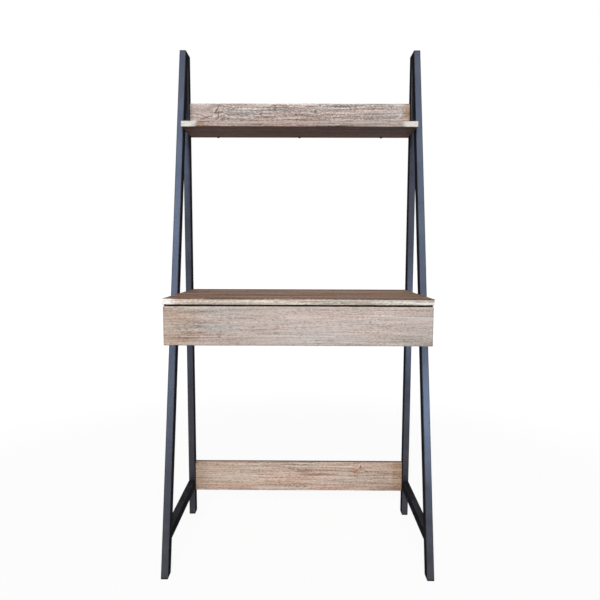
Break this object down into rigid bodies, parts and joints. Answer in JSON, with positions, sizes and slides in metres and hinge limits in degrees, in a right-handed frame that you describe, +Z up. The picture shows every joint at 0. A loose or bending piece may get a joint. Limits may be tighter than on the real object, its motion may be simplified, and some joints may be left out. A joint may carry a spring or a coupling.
{
  "type": "ladder desk",
  "caption": "Ladder desk: A-shaped black steel side frames carry a wooden desk top with a full-width drawer, an upper shelf with an upstand and a low rear stretcher.",
  "frame": {"origin": "on the floor, under the middle of the desk", "axes": "+X along the desk to the sitter's right, +Y from the sitter to the wall, +Z up"},
  "size_m": [0.7566, 0.38, 1.522],
  "materials": {
    "black_steel": "satin",
    "black_plastic": "matte",
    "black_fastener": "satin",
    "top_wood": "matte",
    "front_wood": "matte",
    "shelf_wood": "matte",
    "upstand_wood": "matte",
    "stretcher_wood": "matte",
    "carcass_board": "matte",
    "box_board": "matte",
    "bottom_board": "matte",
    "dowel_wood": "matte",
    "zinc_steel": "satin",
    "ball_steel": "polished"
  },
  "bodies": {
    "frame": {"left_front_leg": "black_steel", "left_rear_leg": "black_steel", "left_side_rail": "black_steel", "right_front_leg": "black_steel", "right_rear_leg": "black_steel", "right_side_rail": "black_steel", "left_front_foot": "black_plastic", "left_rear_foot": "black_plastic", "left_front_cap": "black_plastic", "left_rear_cap": "black_plastic", "right_front_foot": "black_plastic", "right_rear_foot": "black_plastic", "right_front_cap": "black_plastic", "right_rear_cap": "black_plastic", "desk_top": "top_wood", "desk_back": "carcass_board", "desk_left_side": "carcass_board", "desk_right_side": "carcass_board", "case_dowels": "dowel_wood", "left_slide_fixed_channel": "zinc_steel", "right_slide_fixed_channel": "zinc_steel", "slide_fixed_screws": "zinc_steel", "shelf": "shelf_wood", "shelf_upstand": "upstand_wood", "upstand_screws": "black_fastener", "rear_stretcher": "stretcher_wood", "desk_bolts": "black_fastener", "desk_inserts": "zinc_steel", "shelf_bolts": "black_fastener", "shelf_inserts": "zinc_steel", "stretcher_bolts": "black_fastener", "stretcher_inserts": "zinc_steel"},
    "drawer": {"drawer_front": "front_wood", "drawer_inner_front": "box_board", "drawer_back": "box_board", "drawer_left_side": "box_board", "drawer_right_side": "box_board", "drawer_bottom": "bottom_board", "drawer_dowels": "dowel_wood", "drawer_front_screws": "zinc_steel", "left_slide_drawer_channel": "zinc_steel", "right_slide_drawer_channel": "zinc_steel", "slide_drawer_screws": "zinc_steel"},
    "left_ball_cage": {"left_slide_cage": "zinc_steel", "left_slide_balls": "ball_steel"},
    "right_ball_cage": {"right_slide_cage": "zinc_steel", "right_slide_balls": "ball_steel"}
  },
  "joints": [
    {"name": "drawer_slide", "type": "slide", "parent": "frame", "child": "drawer", "axis": [0, -1, 0], "range_m": [0, 0.25]},
    {"name": "left_cage_slide", "type": "slide", "parent": "frame", "child": "left_ball_cage", "axis": [0, -1, 0], "range_m": [0, 0.125]},
    {"name": "right_cage_slide", "type": "slide", "parent": "frame", "child": "right_ball_cage", "axis": [0, -1, 0], "range_m": [0, 0.125]}
  ],
  "couplings": [
    {"joint": "left_cage_slide", "follows": "drawer_slide", "ratio": 0.5},
    {"joint": "right_cage_slide", "follows": "drawer_slide", "ratio": 0.5}
  ]
}
